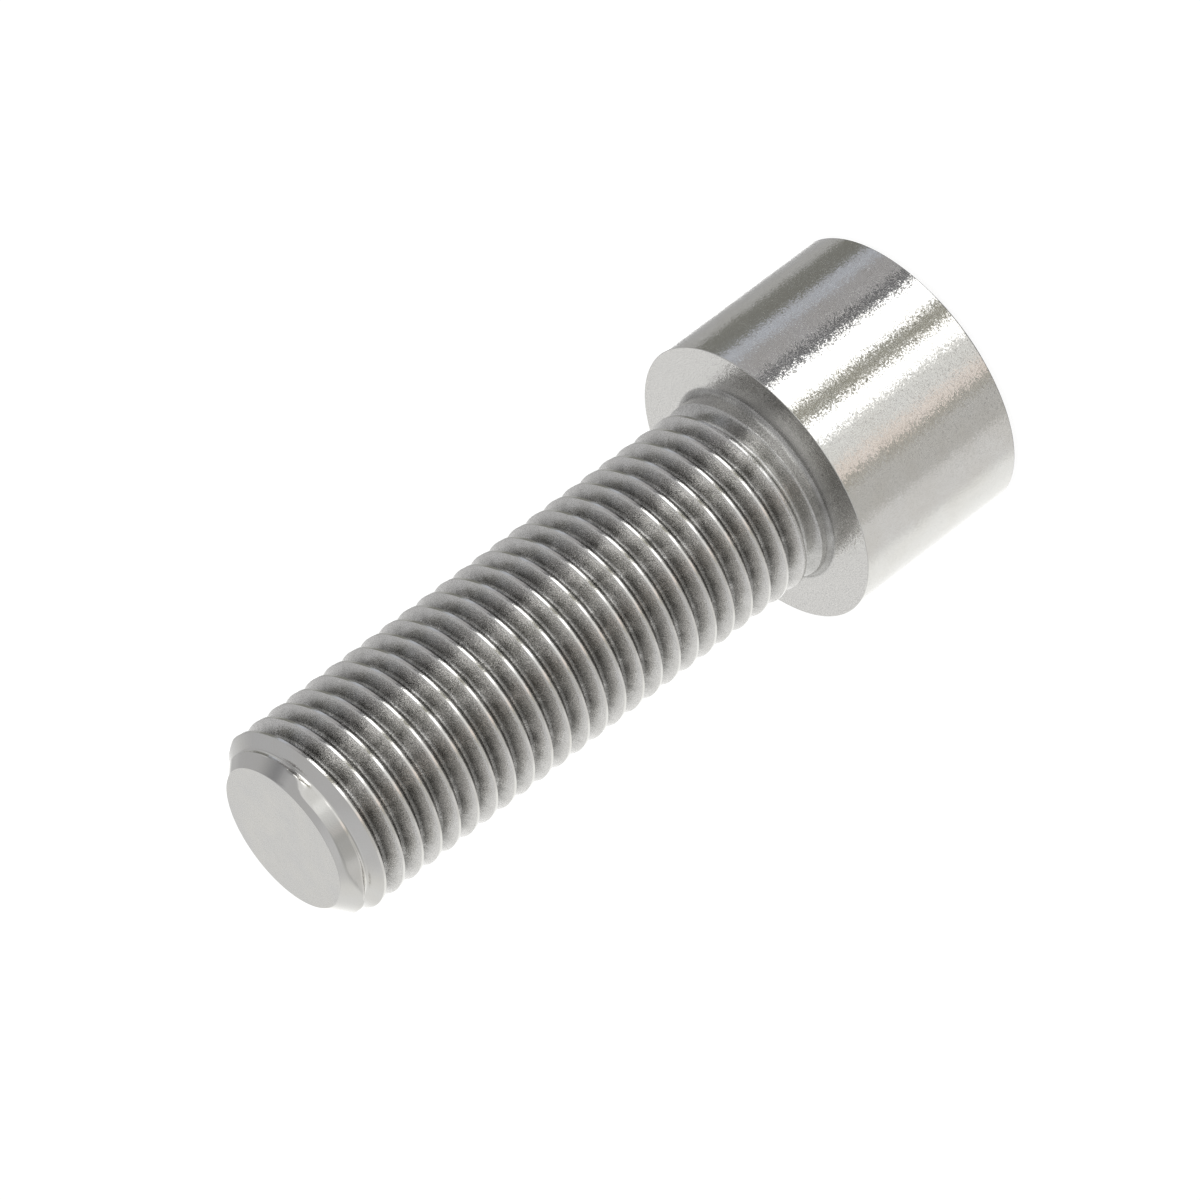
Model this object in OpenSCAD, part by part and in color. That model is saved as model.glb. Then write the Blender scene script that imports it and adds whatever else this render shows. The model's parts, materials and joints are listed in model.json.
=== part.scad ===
// Hexagon socket screw with a tall cylindrical head and a coarse metric thread right up to the head.
// It stands on its head: the origin is the centre of the head's end face, and +Z runs along the
// axis towards the tip. Millimetres.

/* [Head] */
// Diameter of the cylindrical head
head_d = 45; // [40:0.5:50]
// Height of the head, from its end face to the bearing face
head_h = 30; // [26:0.5:34]
// Height of the chamfer round the end face, along the axis
head_chamfer_h = 0.9; // [0.3:0.1:1.5]
// Angle between that chamfer and the end face
head_chamfer_angle = 30; // [20:5:45]

/* [Hexagon socket] */
// Width of the socket across its flats
socket_flats = 22; // [17:0.5:24]
// Depth of the flats, from the end face
socket_depth = 15.5; // [12:0.5:18]
// Depth of the shallow cone in the floor of the socket
socket_floor_h = 1.2; // [0.5:0.1:2]
// Distance from the corners of the hexagon out to the edge of the countersink
socket_lead = 0.3; // [0.1:0.1:1]

/* [Shank] */
// Length of the shank, from the bearing face to the tip
shank_l = 90.5; // [70:0.5:110]
// Radius of the fillet between the bearing face and the shank
fillet_r = 1; // [0.5:0.1:1.5]
// Diameter of the flat face at the tip
tip_d = 23; // [21:0.5:25]
// Angle between the chamfer of the tip and the axis
tip_chamfer_angle = 45; // [35:5:50]

/* [Thread] */
// Nominal diameter of the thread, over its crests
thread_d = 30; // [28:0.5:32]
// Pitch of the thread
thread_pitch = 3.5; // [3:0.1:4]
// Width of plain shank left between the fillet and the edge of the groove where its full depth starts
thread_gap = 0.02; // [0.02:0.02:4]
// Turns over which the groove rises out of the shank beside the head
runout_turns = 0.4; // [0.2:0.05:0.5]

/* [Hidden] */
$fn = 96;

head_r = head_d / 2;
head_chamfer_w = head_chamfer_h / tan(head_chamfer_angle);

// Distance from the axis to the corners of the hexagon
socket_corner_r = socket_flats / sqrt(3);
socket_mouth_r = socket_corner_r + socket_lead;
// How far a cut runs out past the face that it enters
cut_past = 1;

tip_z = head_h + shank_l;
tip_r = tip_d / 2;
crest_r = thread_d / 2;
tip_chamfer_h = (crest_r - tip_r) / tan(tip_chamfer_angle);

// Basic profile of a metric thread: 60 degrees between the flanks, an eighth of the pitch flat at
// the crests, and the standard depth of an external thread
flank_angle = 30;
groove_depth = 0.61343 * thread_pitch;
crest_flat = thread_pitch / 8;
root_r = crest_r - groove_depth;
root_flat = thread_pitch - crest_flat - 2 * groove_depth * tan(flank_angle);

// The groove is cut a little past the crests, and its turns stay clear of each other out there
groove_past = thread_pitch / 14;
mouth_r = crest_r + groove_past;
mouth_flat = root_flat + 2 * (mouth_r - root_r) * tan(flank_angle);
// Distance from the bearing face to the middle of the groove where its full depth starts
thread_start = fillet_r + thread_gap + (thread_pitch - crest_flat) / 2;
// Straight steps in one turn of the groove
turn_steps = 30;
// Angle about the axis at which the full depth starts, on the far side from the front
start_angle = 150;

// The turned blank: head, fillet, shank and chamfered tip
module blank() {
  rotate_extrude()
    difference() {
      polygon([
        [0, 0],
        [head_r - head_chamfer_w, 0],
        [head_r, head_chamfer_h],
        [head_r, head_h],
        [crest_r + fillet_r, head_h],
        [crest_r + fillet_r, head_h + fillet_r],
        [crest_r, head_h + fillet_r],
        [crest_r, tip_z - tip_chamfer_h],
        [tip_r, tip_z],
        [0, tip_z]
      ]);
      translate([crest_r + fillet_r, head_h + fillet_r]) circle(r = fillet_r);
    }
}

// The key's socket: a hexagon with a countersunk mouth and a shallow cone in its floor
module socket() {
  translate([0, 0, -cut_past])
    cylinder(r = socket_corner_r, h = socket_depth + cut_past, $fn = 6);
  translate([0, 0, -cut_past])
    cylinder(r1 = socket_mouth_r + cut_past, r2 = 0, h = socket_mouth_r + cut_past);
  translate([0, 0, socket_depth])
    cylinder(r1 = socket_flats / 2, r2 = 0, h = socket_floor_h);
}

// Section of the groove, as [radius, distance along the axis], raised out of the shank by lift
function groove_section(lift) = [
  [root_r + lift, -root_flat / 2],
  [root_r + lift, root_flat / 2],
  [mouth_r + lift, mouth_flat / 2],
  [mouth_r + lift, -mouth_flat / 2]
];

// The right-hand helical groove: it starts outside the shank beside the head, sinks to its full
// depth at thread_start and runs off the end of the tip
module groove() {
  first = -ceil(runout_turns * turn_steps);
  last = ceil(((shank_l - thread_start) / thread_pitch + 1) * turn_steps);
  corners = len(groove_section(0));
  points = [
    for (step = [first : last])
      let (
        turns = step / turn_steps,
        angle = start_angle + 360 * turns,
        z = head_h + thread_start + thread_pitch * turns,
        lift = (groove_depth + groove_past) * max(0, step / first)
      )
      for (p = groove_section(lift))
        [p[0] * cos(angle), p[0] * sin(angle), z + p[1]]
  ];
  sides = [
    for (ring = [0 : last - first - 1])
      for (corner = [0 : corners - 1])
        let (
          here = ring * corners + corner,
          beside = ring * corners + (corner + 1) % corners
        )
        each [
          [here, here + corners, beside],
          [beside, here + corners, beside + corners]
        ]
  ];
  end = (last - first) * corners;
  caps = [[0, 1, 2], [0, 2, 3], [end, end + 2, end + 1], [end, end + 3, end + 2]];
  polyhedron(points, concat(sides, caps), convexity = 10);
}

module screw() {
  color([0.66, 0.66, 0.65])
    difference() {
      blank();
      socket();
      groove();
    }
}

screw();
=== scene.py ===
"""The looks of a large hexagon socket screw with a cylindrical head, which stands on its head.

Metres in Blender, millimetres in the values below, where MM turns one into the other.
"""
import json
import math

import bpy
from mathutils import Matrix, Vector


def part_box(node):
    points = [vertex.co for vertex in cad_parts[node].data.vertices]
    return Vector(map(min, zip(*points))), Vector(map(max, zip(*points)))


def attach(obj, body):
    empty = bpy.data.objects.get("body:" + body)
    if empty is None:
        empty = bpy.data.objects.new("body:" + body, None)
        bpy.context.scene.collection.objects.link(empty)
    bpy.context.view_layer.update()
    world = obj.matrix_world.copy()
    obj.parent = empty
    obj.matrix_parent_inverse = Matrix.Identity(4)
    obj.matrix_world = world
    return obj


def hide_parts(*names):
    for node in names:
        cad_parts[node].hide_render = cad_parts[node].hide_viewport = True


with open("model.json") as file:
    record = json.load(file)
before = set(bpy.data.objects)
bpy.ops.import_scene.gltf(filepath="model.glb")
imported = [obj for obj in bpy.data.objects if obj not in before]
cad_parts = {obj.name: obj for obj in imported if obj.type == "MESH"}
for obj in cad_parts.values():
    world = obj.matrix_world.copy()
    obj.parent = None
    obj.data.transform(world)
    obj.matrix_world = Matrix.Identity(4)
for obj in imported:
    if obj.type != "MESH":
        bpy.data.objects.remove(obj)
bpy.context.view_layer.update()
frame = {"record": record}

MM = 0.001

# Sizes that the frame gives
mounts = {mount["name"]: mount for mount in frame["record"]["mounts"]}
top_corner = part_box("screw")[1]
HEAD_R = top_corner.x / MM
TIP_Z = top_corner.z / MM
BEARING_Z = mounts["bearing_face"]["pos_m"][2] / MM
CREST_R = mounts["thread"]["dims"]["r_mm"]

# The head, and the fillet under it
HEAD_CHAMFER_H = 0.9
HEAD_CHAMFER_ANGLE = math.radians(30)
EDGE_BREAK = 0.12
FILLET_R = 1.0

# The socket. Its floor is drilled a little inside its flats
SOCKET_FLATS = 22.0
SOCKET_DEPTH = 15.5
SOCKET_FLOOR_H = 1.2
SOCKET_LEAD = 0.3
SOCKET_CORNER_R = SOCKET_FLATS / math.sqrt(3)
SOCKET_CORNER_ROUND = 0.3
SOCKET_MOUTH_R = SOCKET_CORNER_R + SOCKET_LEAD
SOCKET_DRILL_R = SOCKET_FLATS / 2 - 0.05

# The thread: the metric profile, with flat crests and round roots
PITCH = 3.5
FLANK_ANGLE = 30
GROOVE_DEPTH = 0.61343 * PITCH
ROOT_ROUND = 0.14434 * PITCH
CREST_FLAT = PITCH / 8
CREST_EDGE_BREAK = 0.06
# Where the middle of the groove first has its full depth: how far over the bearing face, and how far
# round from the X axis
THREAD_START = 2.55
START_TURN = 150 / 360
# Turns of the full groove up to the tip
THREAD_TURNS = (TIP_Z - BEARING_Z - THREAD_START) / PITCH
# Before its start the groove rises out of the shank, and ends a little outside the crests
RUNOUT_TURNS = 0.4
RUNOUT_RISE = GROOVE_DEPTH + PITCH / 14
# Height at which the threaded part of the shank meets the plain neck over the fillet
NECK_Z = BEARING_Z + FILLET_R + 0.2

# The tip: its flat face, its chamfer, and how far below the face its forming reaches
TIP_R = 11.5
TIP_CHAMFER_ANGLE = math.radians(45)
TIP_CHAMFER_H = (CREST_R - TIP_R) / math.tan(TIP_CHAMFER_ANGLE)
TIP_EDGE_BREAK = 0.2
TIP_ZONE = 4.3

# The stump of the last crest, which the chamfer cuts through and rolling has left low and rounded.
# It sinks between the first two angles and stands up again between the last two, in degrees from the
# front, round to the right
STUMP_START = -75
STUMP_LOW = -45
STUMP_RISE = 14
STUMP_END = 32
# Its radius at this distance below the tip, how much it loses per millimetre towards the tip, and how
# much more radius it has at its two ends
STUMP_DROP = 2.1
STUMP_R = 12.66
STUMP_SLOPE = 0.28
STUMP_END_LIFT = 1.2
# It is smoothed from this place beside the middle of the last groove to a gap below the flat face
STUMP_SMOOTH_FROM = -0.35
STUMP_SMOOTH_GAP = 0.3
STUMP_SMOOTH_TIMES = 16

# Straight steps in a turn of the thread, of the head, and of the round parts of the socket
TURN_STEPS = 96
ROUND_STEPS = 192
SOCKET_STEPS = 96
# How far a cut or a tool's solid runs out past the face that it meets
CUT_PAST = 1.0
# Points closer than these are one point: in a piece, and between one turn of the thread and the next
MERGE = 0.002 * MM
TURN_MERGE = 0.001 * MM
# Edges that bend by more degrees than this stay sharp
SMOOTH_ANGLE = 38

# Turns of the groove at its two ends that have a finish of their own
FIRST_GROOVE_TURNS = 0.75
LAST_GROOVE_TURNS = 1.1
# A face counts as part of a surface when it is nearer to it than this, and the neck takes in a little
# more, for the broken edge of the groove. It is level when more of its normal than this lies along
# the axis
NEAR = 0.02
NECK_NEAR = 0.05
LEVEL = 0.95


def plain_mode():
    """Object mode with nothing selected."""
    if bpy.context.object and bpy.context.object.mode != "OBJECT":
        bpy.ops.object.mode_set(mode="OBJECT")
    bpy.ops.object.select_all(action="DESELECT")


def edit(piece):
    """Edit mode on one piece, with all of it selected."""
    plain_mode()
    piece.select_set(True)
    bpy.context.view_layer.objects.active = piece
    bpy.ops.object.mode_set(mode="EDIT")
    bpy.ops.mesh.select_all(action="SELECT")


def name_last(name):
    """Names the object that was just added, and puts its place into its mesh."""
    piece = bpy.context.object
    piece.name = name
    piece.data.name = name
    bpy.ops.object.transform_apply(location=True, rotation=True, scale=True)
    return piece


def arc(centre_r, centre_z, radius, start, end, steps):
    """Points on an arc in the profile's plane. An angle of 0 points away from the axis, 90 up."""
    points = []
    for step in range(steps + 1):
        angle = math.radians(start + (end - start) * step / steps)
        points.append((centre_r + radius * math.cos(angle), centre_z + radius * math.sin(angle)))
    return points


def rounded(before, corner, after, radius, steps=3):
    """The points of a small arc that rounds off a corner of a profile."""
    corner = Vector(corner)
    to_before = (Vector(before) - corner).normalized()
    to_after = (Vector(after) - corner).normalized()
    half = to_before.angle(to_after) / 2
    centre = corner + (to_before + to_after).normalized() * radius / math.sin(half)
    first = corner + to_before * radius / math.tan(half)
    last = corner + to_after * radius / math.tan(half)
    points = []
    for step in range(steps + 1):
        point = first.lerp(last, step / steps) - centre
        points.append(tuple(centre + point.normalized() * radius))
    return points


def draw_profile(name, points):
    """A line of edges over the X axis, drawn from point to point as (radius, height)."""
    plain_mode()
    r, z = points[0]
    bpy.ops.mesh.primitive_plane_add(size=MM, location=(r * MM, 0, z * MM))
    bpy.ops.object.mode_set(mode="EDIT")
    bpy.ops.mesh.select_mode(type="VERT")
    bpy.ops.mesh.select_all(action="SELECT")
    bpy.ops.mesh.merge(type="CENTER")
    for (r0, z0), (r1, z1) in zip(points, points[1:]):
        step = ((r1 - r0) * MM, 0, (z1 - z0) * MM)
        bpy.ops.mesh.extrude_region_move(TRANSFORM_OT_translate={"value": step})
    bpy.ops.object.mode_set(mode="OBJECT")
    return name_last(name)


def turn(profile, steps=ROUND_STEPS):
    """Turns a profile round the Z axis into a closed solid."""
    edit(profile)
    bpy.ops.mesh.spin(steps=steps, angle=math.tau, center=(0, 0, 0), axis=(0, 0, 1))
    bpy.ops.mesh.select_all(action="SELECT")
    bpy.ops.mesh.remove_doubles(threshold=MERGE)
    bpy.ops.mesh.normals_make_consistent(inside=False)
    plain_mode()
    return profile


def apply_modifier(piece, kind, **settings):
    """Adds a modifier with these settings and applies it."""
    plain_mode()
    piece.select_set(True)
    bpy.context.view_layer.objects.active = piece
    modifier = piece.modifiers.new(kind.title(), kind)
    for key, value in settings.items():
        setattr(modifier, key, value)
    bpy.ops.object.modifier_apply(modifier=modifier.name)


def cut_away(piece, tool):
    """Cuts a tool's solid out of a piece, and removes the tool."""
    apply_modifier(piece, "BOOLEAN", operation="DIFFERENCE", object=tool, solver="EXACT")
    bpy.data.objects.remove(tool)


def select_faces(piece, wanted):
    """Edit mode with only the faces selected that pass the test, by their centre and normal."""
    plain_mode()
    for face in piece.data.polygons:
        face.select = bool(wanted(face.center / MM, face.normal))
    for edge in piece.data.edges:
        edge.select = False
    for vertex in piece.data.vertices:
        vertex.select = False
    for face in piece.data.polygons:
        if face.select:
            for v in face.vertices:
                piece.data.vertices[v].select = True
    piece.select_set(True)
    bpy.context.view_layer.objects.active = piece
    bpy.ops.object.mode_set(mode="EDIT")
    bpy.ops.mesh.select_mode(type="FACE")


def thread_profile():
    """One pitch of the thread's section, from the middle of one crest to the middle of the next."""
    half_mouth = (PITCH - CREST_FLAT) / 2
    root_centre_r = CREST_R - GROOVE_DEPTH + ROOT_ROUND
    root = arc(root_centre_r, 0, ROOT_ROUND, 270 - FLANK_ANGLE, 90 + FLANK_ANGLE, 8)
    crest_middle = (CREST_R, -PITCH / 2)
    crest_edge = (CREST_R, -half_mouth)
    foot = root[0]
    low_side = [crest_middle] + rounded(crest_middle, crest_edge, foot, CREST_EDGE_BREAK)
    # The flanks are divided, so that the groove can rise out of the shank at its start
    flank_parts = 5
    start = Vector(low_side[-1])
    for part in range(1, flank_parts):
        low_side.append(tuple(start.lerp(Vector(foot), part / flank_parts)))
    high_side = [(r, -z) for r, z in reversed(low_side)]
    return low_side + root + high_side


def make_thread():
    """The threaded part of the shank, closed at both ends and chamfered at the tip."""
    # Middle of the groove over the X axis, one turn below the neck so that the turns start inside it
    first = BEARING_Z + THREAD_START - START_TURN * PITCH - PITCH
    turns_past_tip = 2
    turns = math.ceil((TIP_Z - first) / PITCH) + turns_past_tip
    thread = draw_profile("thread", [(r, first + z) for r, z in thread_profile()])
    apply_modifier(
        thread, "SCREW", axis="Z", angle=math.tau, screw_offset=PITCH * MM, iterations=turns,
        steps=TURN_STEPS, render_steps=TURN_STEPS, use_merge_vertices=True, merge_threshold=TURN_MERGE)
    raise_start(thread)
    edit(thread)
    bpy.ops.mesh.remove_doubles(threshold=MERGE)
    bpy.ops.mesh.bisect(
        plane_co=(0, 0, NECK_Z * MM), plane_no=(0, 0, 1), use_fill=True, clear_inner=True,
        threshold=MERGE)
    bpy.ops.mesh.select_all(action="SELECT")
    bpy.ops.mesh.bisect(
        plane_co=(0, 0, (TIP_Z + CUT_PAST) * MM), plane_no=(0, 0, 1), clear_outer=True,
        threshold=MERGE)
    form_tip(thread)
    edit(thread)
    bpy.ops.mesh.normals_make_consistent(inside=False)
    plain_mode()
    return thread


def turn_part(x, y):
    """Part of a turn from the start of the full groove round to a point."""
    return (math.atan2(y, x) / math.tau - START_TURN) % 1


def groove_turn(x, y, z):
    """Turns from the start of the full groove to the part of it that is nearest to a point."""
    part = turn_part(x, y)
    turns_up = (z - BEARING_Z - THREAD_START) / PITCH
    return part + round(turns_up - part)


def past_last_groove(x, y, z):
    """Distance towards the tip from the middle of the last groove that the chamfer leaves."""
    last_turn = math.floor(THREAD_TURNS) - 1
    return z - BEARING_Z - THREAD_START - (last_turn + turn_part(x, y)) * PITCH


def set_radius(vertex, radius, new_radius):
    """Moves a vertex straight out from the axis, or in."""
    vertex.co.x *= new_radius / radius
    vertex.co.y *= new_radius / radius


def raise_start(thread):
    """Lets the first part of the groove rise out of the shank beside the head."""
    for vertex in thread.data.vertices:
        x, y, z = vertex.co / MM
        turn_from_start = groove_turn(x, y, z)
        if turn_from_start < 0:
            radius = math.hypot(x, y)
            rise = RUNOUT_RISE * min(1, -turn_from_start / RUNOUT_TURNS)
            set_radius(vertex, radius, min(CREST_R, radius + rise))


def ease(low, high, value):
    """Rises smoothly from 0 at low to 1 at high."""
    part = min(1, max(0, (value - low) / (high - low)))
    return part * part * (3 - 2 * part)


def from_front(x, y):
    """Angle in degrees from the front, round to the right."""
    return math.degrees(math.atan2(x, -y))


def chamfer_radius(z):
    """Radius of the tip's chamfer at a height."""
    return TIP_R + (TIP_Z - z) * math.tan(TIP_CHAMFER_ANGLE)


def on_stump(place, normal):
    """On the stump of the last crest, short of the flat face."""
    return STUMP_START < from_front(place.x, place.y) < STUMP_END and \
        place.z < TIP_Z - STUMP_SMOOTH_GAP and \
        past_last_groove(*place) > STUMP_SMOOTH_FROM


def form_tip(thread):
    """Turns the chamfer of the tip, rounds the stump of the last crest and closes the flat face."""
    select_faces(thread, lambda place, normal: place.z > TIP_Z - TIP_ZONE)
    bpy.ops.mesh.subdivide(number_cuts=2)
    plain_mode()
    for vertex in thread.data.vertices:
        x, y, z = vertex.co / MM
        if z < TIP_Z - TIP_ZONE:
            continue
        radius = math.hypot(x, y)
        new_radius = min(radius, chamfer_radius(z))
        sunk = ease(STUMP_START, STUMP_LOW, from_front(x, y))
        sunk *= 1 - ease(STUMP_RISE, STUMP_END, from_front(x, y))
        if sunk > 0 and past_last_groove(x, y, z) > 0:
            stump_r = STUMP_R - STUMP_SLOPE * (z - TIP_Z + STUMP_DROP) + STUMP_END_LIFT * (1 - sunk)
            new_radius = min(new_radius, stump_r)
        set_radius(vertex, radius, new_radius)
    select_faces(thread, on_stump)
    bpy.ops.mesh.vertices_smooth(factor=0.5, repeat=STUMP_SMOOTH_TIMES)
    close_tip(thread)


def close_tip(thread):
    """Breaks the edge of the tip's flat face, and closes the face."""
    chamfer_foot = (CREST_R, TIP_Z - TIP_CHAMFER_H)
    rim = rounded(chamfer_foot, (TIP_R, TIP_Z), (0, TIP_Z), TIP_EDGE_BREAK, 4)
    edit(thread)
    bpy.ops.mesh.bisect(
        plane_co=(0, 0, rim[0][1] * MM), plane_no=(0, 0, 1), clear_outer=True, threshold=MERGE)
    bpy.ops.mesh.select_mode(type="EDGE")
    bpy.ops.mesh.select_all(action="DESELECT")
    bpy.ops.mesh.select_non_manifold()
    for (r0, z0), (r1, z1) in zip(rim, rim[1:]):
        bpy.ops.mesh.extrude_region_move(TRANSFORM_OT_translate={"value": (0, 0, (z1 - z0) * MM)})
        bpy.ops.transform.resize(value=(r1 / r0, r1 / r0, 1), center_override=(0, 0, 0))
    bpy.ops.mesh.edge_face_add()
    plain_mode()


def make_head():
    """The head with its socket and fillet, closed over the neck."""
    chamfer_w = HEAD_CHAMFER_H / math.tan(HEAD_CHAMFER_ANGLE)
    face_edge = (HEAD_R - chamfer_w, 0)
    side_low = (HEAD_R, HEAD_CHAMFER_H)
    side_high = (HEAD_R, BEARING_Z)
    ring = (CREST_R + FILLET_R, BEARING_Z)
    points = [(0, 0)]
    points += rounded((0, 0), face_edge, side_low, EDGE_BREAK)
    points += rounded(face_edge, side_low, side_high, EDGE_BREAK)
    points += rounded(side_low, side_high, ring, EDGE_BREAK)
    points += arc(CREST_R + FILLET_R, BEARING_Z + FILLET_R, FILLET_R, 270, 180, 10)
    points += [(0, BEARING_Z + FILLET_R)]
    head = turn(draw_profile("head", points))
    cut_away(head, socket_tool())
    return head


def socket_tool():
    """The shape of the socket: a hexagon, its countersunk mouth and the cone in its floor."""
    plain_mode()
    bpy.ops.mesh.primitive_cylinder_add(
        vertices=6, radius=SOCKET_CORNER_R * MM, depth=(SOCKET_DEPTH + CUT_PAST) * MM,
        location=(0, 0, (SOCKET_DEPTH - CUT_PAST) / 2 * MM), rotation=(0, 0, math.radians(30)))
    hexagon = name_last("socket_hexagon")
    round_corners(hexagon)
    mouth = turn(draw_profile("socket_mouth", [
        (0, -CUT_PAST), (SOCKET_MOUTH_R + CUT_PAST, -CUT_PAST), (0, SOCKET_MOUTH_R)]), SOCKET_STEPS)
    floor_cone = turn(draw_profile("socket_floor", [
        (0, SOCKET_DEPTH - CUT_PAST), (SOCKET_DRILL_R, SOCKET_DEPTH - CUT_PAST),
        (SOCKET_DRILL_R, SOCKET_DEPTH), (0, SOCKET_DEPTH + SOCKET_FLOOR_H)]), SOCKET_STEPS)
    for part in (mouth, floor_cone):
        apply_modifier(hexagon, "BOOLEAN", operation="UNION", object=part, solver="EXACT")
        bpy.data.objects.remove(part)
    return hexagon


def round_corners(hexagon):
    """Small radii in the six corners of the socket."""
    plain_mode()
    vertices = hexagon.data.vertices
    for edge in hexagon.data.edges:
        low, high = (vertices[v].co for v in edge.vertices)
        edge.select = abs(low.z - high.z) > SOCKET_DEPTH / 2 * MM
    hexagon.select_set(True)
    bpy.context.view_layer.objects.active = hexagon
    bpy.ops.object.mode_set(mode="EDIT")
    bpy.ops.mesh.bevel(offset=SOCKET_CORNER_ROUND * MM, segments=4)
    plain_mode()


def open_end(piece, z, facing):
    """Removes the flat cap at a height, so that a neighbour can be joined there."""
    select_faces(
        piece, lambda place, normal: abs(place.z - z) < NEAR and normal.z * facing > LEVEL)
    bpy.ops.mesh.delete(type="FACE")
    plain_mode()


def make_screw():
    """Head and thread, joined into one closed mesh."""
    thread = make_thread()
    head = make_head()
    open_end(thread, NECK_Z, -1)
    open_end(head, BEARING_Z + FILLET_R, 1)
    plain_mode()
    thread.select_set(True)
    head.select_set(True)
    bpy.context.view_layer.objects.active = head
    bpy.ops.object.join()
    screw = bpy.context.object
    screw.name = "screw_body"
    screw.data.name = "screw_body"
    edit(screw)
    bpy.ops.mesh.select_mode(type="EDGE")
    bpy.ops.mesh.select_all(action="DESELECT")
    bpy.ops.mesh.select_non_manifold()
    bpy.ops.mesh.bridge_edge_loops()
    bpy.ops.mesh.select_all(action="DESELECT")
    plain_mode()
    screw.select_set(True)
    bpy.ops.object.shade_smooth_by_angle(angle=math.radians(SMOOTH_ANGLE))
    # Large faces set the normals of their edges, so that flats and cylinders reflect as such
    apply_modifier(screw, "WEIGHTED_NORMAL", keep_sharp=True)
    return screw


def radius_of(place):
    """Distance from the screw's axis."""
    return math.hypot(place.x, place.y)


def on_side(place, normal):
    """On the side of the head and its broken edges."""
    return place.z < BEARING_Z and radius_of(place) > HEAD_R - EDGE_BREAK and abs(normal.z) < LEVEL


def on_end_face(place, normal):
    """On the end face that the screw stands on, or the chamfer round it."""
    chamfer_level = math.cos(HEAD_CHAMFER_ANGLE)
    return place.z < HEAD_CHAMFER_H and normal.z < NEAR - chamfer_level and \
        radius_of(place) > SOCKET_FLATS / 2


def in_socket(place, normal):
    """In the socket, its countersunk mouth or its floor."""
    return place.z < SOCKET_DEPTH + SOCKET_FLOOR_H + NEAR and radius_of(place) < SOCKET_MOUTH_R and \
        not on_end_face(place, normal)


def on_bearing_face(place, normal):
    """On the face under the head."""
    return abs(place.z - BEARING_Z) < NEAR and normal.z > LEVEL


def on_fillet(place, normal):
    """On the fillet under the head, short of its upper edge."""
    return BEARING_Z + NEAR < place.z < BEARING_Z + FILLET_R * 0.8 and \
        radius_of(place) < CREST_R + FILLET_R


def on_neck(place, normal):
    """On what is left of the plain shank beside the first turn of the groove."""
    return BEARING_Z < place.z < BEARING_Z + THREAD_START + PITCH and \
        radius_of(place) > CREST_R - NECK_NEAR


def on_crest(place, normal):
    """On a crest of the thread, past the neck."""
    return place.z > BEARING_Z + THREAD_START + PITCH / 2 and \
        radius_of(place) > CREST_R - NEAR and abs(normal.z) < LEVEL


def on_tip_chamfer(place, normal):
    """On the chamfer of the tip."""
    return normal.z > 0.5 and abs(radius_of(place) - chamfer_radius(place.z)) < 0.1


def on_tip_face(place, normal):
    """On the flat face of the tip."""
    return normal.z > LEVEL and place.z > TIP_Z - NEAR


def in_groove(place, normal):
    """Anywhere on the threaded part but its crests, neck and tip."""
    return place.z > BEARING_Z + FILLET_R and not (
        on_neck(place, normal) or on_crest(place, normal) or
        on_tip_chamfer(place, normal) or on_tip_face(place, normal))


def in_first_groove(place, normal):
    """In the part of the groove beside the head."""
    return in_groove(place, normal) and groove_turn(*place) < FIRST_GROOVE_TURNS


def in_last_groove(place, normal):
    """In the last turn of the groove, which the chamfer opens."""
    return in_groove(place, normal) and groove_turn(*place) > THREAD_TURNS - LAST_GROOVE_TURNS


def paint(piece, wanted, material):
    """Gives a material to the faces that pass the test."""
    piece.data.materials.append(material)
    select_faces(piece, wanted)
    piece.active_material_index = len(piece.data.materials) - 1
    bpy.ops.object.material_slot_assign()
    plain_mode()


def feed(tree, socket, value):
    """Gives an input the output of another node, or a value of its own."""
    if isinstance(value, bpy.types.NodeSocket):
        tree.links.new(value, socket)
    else:
        socket.default_value = value


def shader_node(tree, kind, settings=None, **inputs):
    """A shader node with its settings, and its inputs by name."""
    node = tree.nodes.new(kind)
    for name, value in (settings or {}).items():
        setattr(node, name, value)
    for name, value in inputs.items():
        feed(tree, node.inputs[name.replace("_", " ")], value)
    return node


def maths(tree, operation, *values):
    """The output of a Math node."""
    node = shader_node(tree, "ShaderNodeMath", {"operation": operation})
    for socket, value in zip(node.inputs, values):
        feed(tree, socket, value)
    return node.outputs[0]


def vector_maths(tree, operation, first, second):
    """The output of a Vector Math node: a number for a dot product, or else a vector."""
    node = shader_node(tree, "ShaderNodeVectorMath", {"operation": operation})
    feed(tree, node.inputs[0], first)
    feed(tree, node.inputs[1], second)
    return node.outputs["Value" if operation == "DOT_PRODUCT" else "Vector"]


def mix_colours(tree, factor, first, second):
    """The output of a Mix node between two colours."""
    node = shader_node(tree, "ShaderNodeMix", {"data_type": "RGBA"})
    for socket, value in ((node.inputs[0], factor), (node.inputs[6], first), (node.inputs[7], second)):
        feed(tree, socket, value)
    return node.outputs[2]


def between(tree, value, low, high, low_value=0.0, high_value=1.0, kind="LINEAR"):
    """Where a value lies from low to high, carried over to the stretch between two other numbers."""
    return shader_node(
        tree, "ShaderNodeMapRange", {"interpolation_type": kind}, Value=value, From_Min=low,
        From_Max=high, To_Min=low_value, To_Max=high_value).outputs[0]


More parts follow.
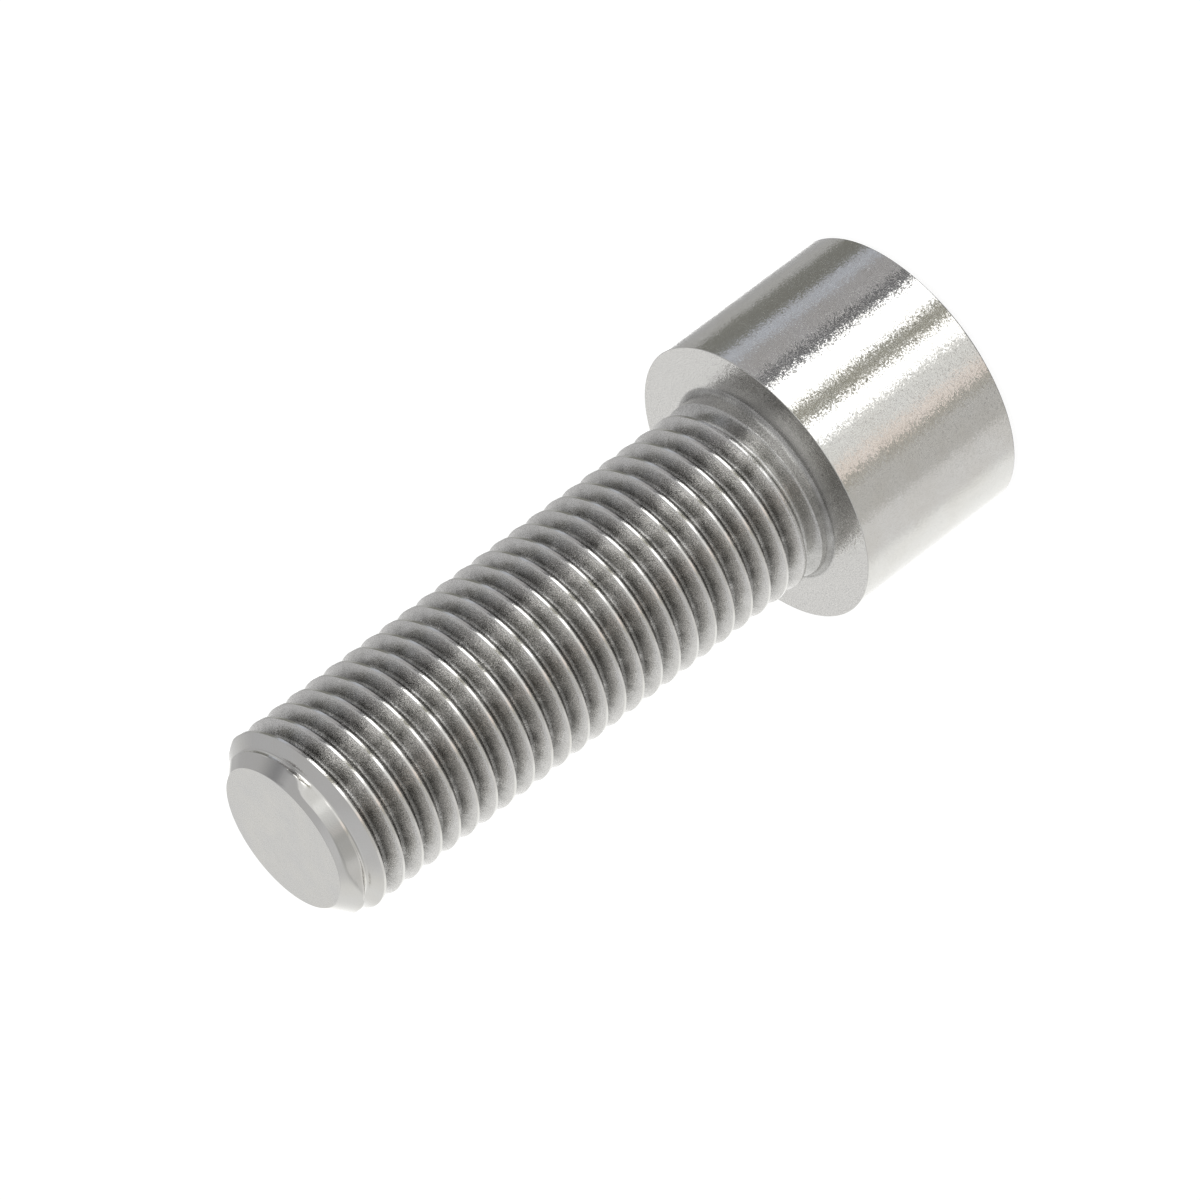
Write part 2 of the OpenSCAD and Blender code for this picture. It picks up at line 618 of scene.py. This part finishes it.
def new_group(name, inputs, outputs):
    """An empty node group, with its input sockets by name and its output node."""
    tree = bpy.data.node_groups.new(name, "ShaderNodeTree")
    for label, value in inputs.items():
        kind = "NodeSocketVector" if value is None else "NodeSocketFloat"
        socket = tree.interface.new_socket(label, in_out="INPUT", socket_type=kind)
        if value is not None:
            socket.default_value = value
    for label in outputs:
        tree.interface.new_socket(label, in_out="OUTPUT", socket_type="NodeSocketFloat")
    return tree, tree.nodes.new("NodeGroupInput").outputs, tree.nodes.new("NodeGroupOutput").inputs


def make_grain_group():
    """Fine grains and facets of a blasted or worn steel surface, with soft stains across them."""
    tree, given, result = new_group(
        "steel_grain", {"Place": None, "Grain Size": 0.15, "Stain Size": 6.0},
        ("Grain", "Facets", "Stain"))
    grain_scale = maths(tree, "DIVIDE", 1 / MM, given["Grain Size"])
    stain_scale = maths(tree, "DIVIDE", 1 / MM, given["Stain Size"])
    grain = shader_node(
        tree, "ShaderNodeTexNoise", Vector=given["Place"], Detail=2.0, Roughness=0.6,
        Scale=grain_scale)
    stain = shader_node(
        tree, "ShaderNodeTexNoise", Vector=given["Place"], Detail=4.0, Roughness=0.55,
        Scale=stain_scale)
    # Each cell is a flat facet: its height rises from its middle along a tilt of its own
    cells = shader_node(tree, "ShaderNodeTexVoronoi", Vector=given["Place"], Scale=grain_scale).outputs
    tilt = vector_maths(tree, "SUBTRACT", cells["Color"], (0.5, 0.5, 0.5))
    from_middle = vector_maths(tree, "SUBTRACT", given["Place"], cells["Position"])
    facets = vector_maths(tree, "DOT_PRODUCT", tilt, from_middle)
    tree.links.new(grain.outputs["Fac"], result["Grain"])
    tree.links.new(facets, result["Facets"])
    tree.links.new(stain.outputs["Fac"], result["Stain"])
    return tree


def make_depth_group():
    """How deep a point lies in the groove, from 0 at the crests to 1 at the roots."""
    tree, given, result = new_group("groove_depth", {"Place": None}, ("Depth",))
    place = shader_node(tree, "ShaderNodeSeparateXYZ", Vector=given["Place"]).outputs
    radius = maths(tree, "SQRT", maths(
        tree, "ADD", maths(tree, "MULTIPLY", place["X"], place["X"]),
        maths(tree, "MULTIPLY", place["Y"], place["Y"])))
    depth = between(tree, radius, CREST_R * MM, (CREST_R - GROOVE_DEPTH) * MM)
    tree.links.new(depth, result["Depth"])
    return tree


# Levels of the noise between which the stains and the flecks fade in, and between which the roughness
# goes from its least to its most
STAIN_LEVELS = (0.35, 0.65)
FLECK_LEVELS = (0.52, 0.42)
ROUGH_LEVELS = (0.3, 0.7)
FLECK_COLOUR = (0.10, 0.10, 0.095, 1)
# Painted shade in the roots: it darkens them by this power of the depth, and covers this much of them:
# more where there is a stain
ROOT_SHADE_POWER = 1.6
ROOT_SHADE_COVER = 0.55
ROOT_SHADE_COVER_IN_STAINS = 0.9
# Part of the flecks that reaches the crests
CREST_FLECKS = 0.2


def steel(name, groups, colour, stain_colour, *, roughness, rough_spread, grain_size, grain_bump,
          stain_size=6.0, facets=0.0, flecks=0.0, residue=None):
    """A steel finish. Sizes and the bump's height are in millimetres, facets is the spread in slope
    from one tiny facet to the next, flecks say how dark the grains are, and the last argument is the
    colour of the shade that is painted into the roots, darker the deeper they lie."""
    material = bpy.data.materials.new(name)
    material.use_nodes = True
    tree = material.node_tree
    shader = tree.nodes["Principled BSDF"]
    shader.inputs["Metallic"].default_value = 1.0
    place = tree.nodes.new("ShaderNodeTexCoord").outputs["Object"]
    grain = shader_node(
        tree, "ShaderNodeGroup", {"node_tree": groups["grain"]}, Place=place,
        Grain_Size=grain_size, Stain_Size=stain_size).outputs
    stain = between(tree, grain["Stain"], *STAIN_LEVELS)
    base = mix_colours(tree, stain, colour, stain_colour)
    fleck = between(tree, grain["Grain"], *FLECK_LEVELS, 0.0, flecks)
    # Painted shade: the roots darken with their depth, more where a stain lies, and the flecks thin
    # out towards the crests
    if residue:
        depth = shader_node(
            tree, "ShaderNodeGroup", {"node_tree": groups["depth"]}, Place=place).outputs["Depth"]
        depth = maths(tree, "POWER", depth, ROOT_SHADE_POWER)
        cover = maths(tree, "MULTIPLY_ADD", stain, ROOT_SHADE_COVER_IN_STAINS, ROOT_SHADE_COVER)
        base = mix_colours(tree, maths(tree, "MULTIPLY", depth, cover), base, residue)
        fleck = maths(tree, "MULTIPLY", fleck, maths(
            tree, "MULTIPLY_ADD", depth, 1 - CREST_FLECKS, CREST_FLECKS))
    base = mix_colours(tree, fleck, base, FLECK_COLOUR)
    tree.links.new(base, shader.inputs["Base Color"])
    least_rough = max(0.02, roughness - rough_spread)
    rough = between(tree, grain["Grain"], *ROUGH_LEVELS, least_rough, roughness + rough_spread)
    tree.links.new(rough, shader.inputs["Roughness"])
    grain_height = maths(tree, "MULTIPLY", grain["Grain"], grain_bump * MM)
    height = maths(tree, "MULTIPLY_ADD", grain["Facets"], facets, grain_height)
    bump = shader_node(tree, "ShaderNodeBump", Height=height, Distance=1.0, Strength=1.0)
    tree.links.new(bump.outputs["Normal"], shader.inputs["Normal"])
    return material


def finish_screw(screw):
    """Paints every face of the screw with the finish it has."""
    groups = {"grain": make_grain_group(), "depth": make_depth_group()}
    plain = (0.62, 0.615, 0.60, 1)
    warm = (0.60, 0.59, 0.565, 1)
    mild = (0.565, 0.56, 0.55, 1)
    bright = (0.73, 0.72, 0.705, 1)
    worn = (0.70, 0.69, 0.67, 1)
    dull = (0.52, 0.515, 0.50, 1)
    dim = (0.50, 0.495, 0.48, 1)
    # A dark colour for stains on the fillet, and for the shade painted into the roots of the groove
    grime_and_root_shade = (0.27, 0.265, 0.255, 1)
    paint(screw, on_side, steel(
        "polished_side", groups, plain, warm, roughness=0.07, rough_spread=0.03,
        grain_size=0.17, grain_bump=0.002, facets=0.08))
    paint(screw, on_crest, steel(
        "polished_crest", groups, plain, warm, roughness=0.12, rough_spread=0.04,
        grain_size=0.20, grain_bump=0.014))
    paint(screw, on_end_face, steel(
        "turned_end_face", groups, plain, warm, roughness=0.32, rough_spread=0.08,
        grain_size=0.15, grain_bump=0.003))
    paint(screw, on_tip_face, steel(
        "turned_tip_face", groups, mild, warm, roughness=0.26, rough_spread=0.08,
        grain_size=0.20, grain_bump=0.006))
    paint(screw, on_tip_chamfer, steel(
        "tip_chamfer", groups, plain, warm, roughness=0.12, rough_spread=0.04,
        grain_size=0.20, grain_bump=0.003))
    paint(screw, on_bearing_face, steel(
        "satin_bearing_face", groups, worn, worn, roughness=0.17, rough_spread=0.06,
        grain_size=0.20, grain_bump=0.006, facets=0.14, flecks=0.25))
    paint(screw, on_neck, steel(
        "satin_neck", groups, plain, dull, roughness=0.20, rough_spread=0.06,
        grain_size=0.20, grain_bump=0.003, facets=0.05, flecks=0.4))
    paint(screw, on_fillet, steel(
        "dull_fillet", groups, dim, grime_and_root_shade, roughness=0.24, rough_spread=0.06,
        grain_size=0.20, grain_bump=0.006, facets=0.08, flecks=0.3))
    # The roots of the groove get painted shade; its first and last turns, painted over next, go
    # without it
    paint(screw, in_groove, steel(
        "grainy_thread", groups, bright, worn, roughness=0.22, rough_spread=0.08,
        grain_size=0.17, grain_bump=0.016, stain_size=2.5, facets=0.10, flecks=0.8, residue=grime_and_root_shade))
    paint(screw, in_first_groove, steel(
        "first_groove", groups, plain, dull, roughness=0.22, rough_spread=0.06,
        grain_size=0.20, grain_bump=0.014, stain_size=3.5, flecks=0.3))
    paint(screw, in_last_groove, steel(
        "last_groove", groups, plain, warm, roughness=0.14, rough_spread=0.04,
        grain_size=0.20, grain_bump=0.008))
    paint(screw, in_socket, steel(
        "pressed_socket", groups, plain, warm, roughness=0.28, rough_spread=0.08,
        grain_size=0.15, grain_bump=0.004))


# The studio that the steel mirrors, as bands of light from one bearing to the next in degrees. 0 is
# the photographer's side, and the bearings count up to the right of it, seen from above. Each band's
# light is a multiple of the white background, given as a colour.
STUDIO_WALLS = (
    ("white_back_left", -166, -166, (1.4, 1.4, 1.4)),
    ("pale_wall_left", -152, -116, (1.23, 1.23, 1.21)),
    ("pale_wall_near_left", -106, -76, (0.97, 0.96, 0.95)),
    ("grey_gap_left", -72, -46, (0.74, 0.73, 0.705)),
    ("grey_gap_edge", -43, -38, (0.60, 0.58, 0.52)),
    ("warm_edge", -34, -28, (1.20, 1.08, 1.00)),
    ("pale_wall_front", -22, -6, (1.10, 1.10, 1.08)),
    ("strip_light_near", -2, 9, (2.6, 2.6, 2.6)),
    ("olive_flag", 13, 24, (0.46, 0.45, 0.38)),
    ("strip_light_main", 30, 48, (2.8, 2.8, 2.8)),
    ("dark_flag", 52, 60, (0.20, 0.20, 0.21)),
    ("grey_wall_right", 64, 82, (0.54, 0.53, 0.54)),
    ("blue_wall_right", 86, 96, (0.66, 0.69, 0.76)),
    ("dark_wall_right", 102, 124, (0.27, 0.27, 0.245)),
    ("edge_wall_right", 130, 140, (0.55, 0.55, 0.54)),
    ("grey_wall_back", 146, 160, (0.50, 0.50, 0.50)),
    ("white_back_right", 170, 170, (1.9, 1.9, 1.9)),
)
STUDIO_UPPER_WALLS = (
    ("pale_back_left", -180, -125, (0.98, 0.98, 0.97)),
    ("grey_left", -96, -96, (0.72, 0.72, 0.72)),
    ("dim_left", -66, -42, (0.50, 0.50, 0.49)),
    ("grey_left_front", -28, -28, (0.62, 0.62, 0.61)),
    ("front", 0, 0, (0.95, 0.95, 0.94)),
    ("soft_light", 16, 32, (1.00, 1.00, 1.00)),
    ("dim_right", 54, 70, (0.44, 0.44, 0.44)),
    ("pale_right", 84, 106, (0.68, 0.68, 0.68)),
    ("grey_right", 122, 146, (0.58, 0.58, 0.59)),
    ("pale_back_right", 168, 180, (0.95, 0.95, 0.95)),
)
# The ceiling's light from left to right, by the sideways part of a direction
STUDIO_CEILING = (
    ("pale_left", -1.0, -0.60, (0.76, 0.76, 0.77)),
    ("grey_left", -0.40, -0.36, (0.70, 0.70, 0.71)),
    ("pale_middle", -0.1, 0.1, (0.63, 0.63, 0.64)),
    ("grey_right", 0.50, 0.57, (0.60, 0.60, 0.61)),
    ("dark_right", 0.70, 0.80, (0.30, 0.30, 0.31)),
    ("far_right", 0.90, 1.0, (0.60, 0.60, 0.61)),
)
# Heights of a direction, as its part along Z, over which the light of the walls comes up from what is
# left of it underfoot, over which the upper walls follow, and over which the ceiling does
WALL_FOOT = (-0.60, -0.48)
WALL_FOOT_LIGHT = 0.12
UPPER_WALLS_FROM = (-0.2, 0.2)
CEILING_FROM = (0.45, 0.75)


def band_ramp(tree, place, whole, bands):
    """Light from a table of bands, at a place between minus and plus half of the whole."""
    node = shader_node(
        tree, "ShaderNodeValToRGB", Fac=maths(tree, "MULTIPLY_ADD", place, 1 / whole, 0.5))
    elements = node.color_ramp.elements
    elements.remove(elements[-1])
    stops = [(mark / whole + 0.5, light) for _, start, end, light in bands
             for mark in sorted({start, end})]
    elements[0].position = stops[0][0]
    elements[0].color = (*stops[0][1], 1)
    for position, light in stops[1:]:
        elements.new(position).color = (*light, 1)
    return node.outputs["Color"]


def make_studio():
    """White wherever the camera sees it, and the walls and ceiling of a studio in the steel."""
    world = bpy.data.worlds.new("studio")
    bpy.context.scene.world = world
    world.use_nodes = True
    tree = world.node_tree
    towards = tree.nodes.new("ShaderNodeTexCoord").outputs["Generated"]
    axis = shader_node(tree, "ShaderNodeSeparateXYZ", Vector=towards).outputs
    to_front = maths(tree, "MULTIPLY", axis["Y"], -1.0)
    bearing = maths(tree, "DEGREES", maths(tree, "ARCTAN2", axis["X"], to_front))

    def by_height(heights, low_value=0.0):
        return between(tree, axis["Z"], *heights, low_value, 1.0, "SMOOTHSTEP")

    walls = shader_node(
        tree, "ShaderNodeVectorMath", {"operation": "SCALE"},
        Vector=band_ramp(tree, bearing, 360, STUDIO_WALLS),
        Scale=by_height(WALL_FOOT, WALL_FOOT_LIGHT)).outputs[0]
    upper_walls = band_ramp(tree, bearing, 360, STUDIO_UPPER_WALLS)
    ceiling = band_ramp(tree, axis["X"], 2, STUDIO_CEILING)
    room = mix_colours(tree, by_height(UPPER_WALLS_FROM), walls, upper_walls)
    room = mix_colours(tree, by_height(CEILING_FROM), room, ceiling)
    in_steel = tree.nodes.new("ShaderNodeLightPath").outputs["Is Glossy Ray"]
    seen = mix_colours(tree, in_steel, (1, 1, 1, 1), room)
    tree.links.new(seen, tree.nodes["Background"].inputs["Color"])


# The floor's size in metres, and how far it lies below the screw, so that the two don't share a plane
FLOOR_SIZE = 20
FLOOR_DROP = 0.05
# What its paper mirrors of the light, and its own glow: together white, less the screw's shadow
PAPER_COLOUR = (0.14, 0.14, 0.14, 1)
GLOW_COLOUR = (0.92, 0.92, 0.92, 1)


def make_floor():
    """A floor that is white to the camera from above, and clear from below and to the steel."""
    plain_mode()
    bpy.ops.mesh.primitive_plane_add(size=FLOOR_SIZE, location=(0, 0, -FLOOR_DROP * MM))
    floor = name_last("floor")
    material = bpy.data.materials.new("pale_floor")
    material.use_nodes = True
    tree = material.node_tree
    tree.nodes.clear()
    paper = shader_node(tree, "ShaderNodeBsdfDiffuse", Color=PAPER_COLOUR)
    glow = shader_node(tree, "ShaderNodeEmission", Color=GLOW_COLOUR)
    lit = tree.nodes.new("ShaderNodeAddShader")
    clear = shader_node(tree, "ShaderNodeBsdfTransparent")
    light_path = tree.nodes.new("ShaderNodeLightPath").outputs
    from_below = tree.nodes.new("ShaderNodeNewGeometry").outputs["Backfacing"]
    through = maths(tree, "MAXIMUM", light_path["Is Glossy Ray"], light_path["Is Transmission Ray"])
    through = maths(tree, "MAXIMUM", through, from_below)
    seen = shader_node(tree, "ShaderNodeMixShader", Fac=through)
    output = tree.nodes.new("ShaderNodeOutputMaterial")
    tree.links.new(paper.outputs[0], lit.inputs[0])
    tree.links.new(glow.outputs[0], lit.inputs[1])
    tree.links.new(lit.outputs[0], seen.inputs[1])
    tree.links.new(clear.outputs[0], seen.inputs[2])
    tree.links.new(seen.outputs[0], output.inputs["Surface"])
    floor.data.materials.append(material)


# The camera, as the perspective in the photo and the screw's place in it give it: its angle above the
# level, its turn about its own line of sight, how far it is from its aim, its lens, and how many
# metres it sees
CAMERA_ELEVATION = math.radians(25.576)
CAMERA_ROLL = math.radians(-126.984)
CAMERA_DISTANCE = 1348.2
CAMERA_AIM = (-0.03, 0.15, 60.31)
CAMERA_LENS = 290.07
CAMERA_REACH = 20


def make_camera():
    """A long lens from the photograph's side and height, rolled so that the tip points down left."""
    away = Vector((0, -math.cos(CAMERA_ELEVATION), math.sin(CAMERA_ELEVATION)))
    spot = (Vector(CAMERA_AIM) + away * CAMERA_DISTANCE) * MM
    look = away.to_track_quat("Z", "Y").to_matrix().to_4x4()
    data = bpy.data.cameras.new("camera")
    data.lens = CAMERA_LENS
    data.clip_end = CAMERA_REACH
    camera = bpy.data.objects.new("camera", data)
    bpy.context.collection.objects.link(camera)
    camera.matrix_world = Matrix.Translation(spot) @ look @ Matrix.Rotation(CAMERA_ROLL, 4, "Z")
    bpy.context.scene.camera = camera


make_camera()
make_studio()
make_floor()
screw = make_screw()
finish_screw(screw)
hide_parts("screw")
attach(screw, "root")

bpy.context.scene.view_settings.view_transform = "Standard"
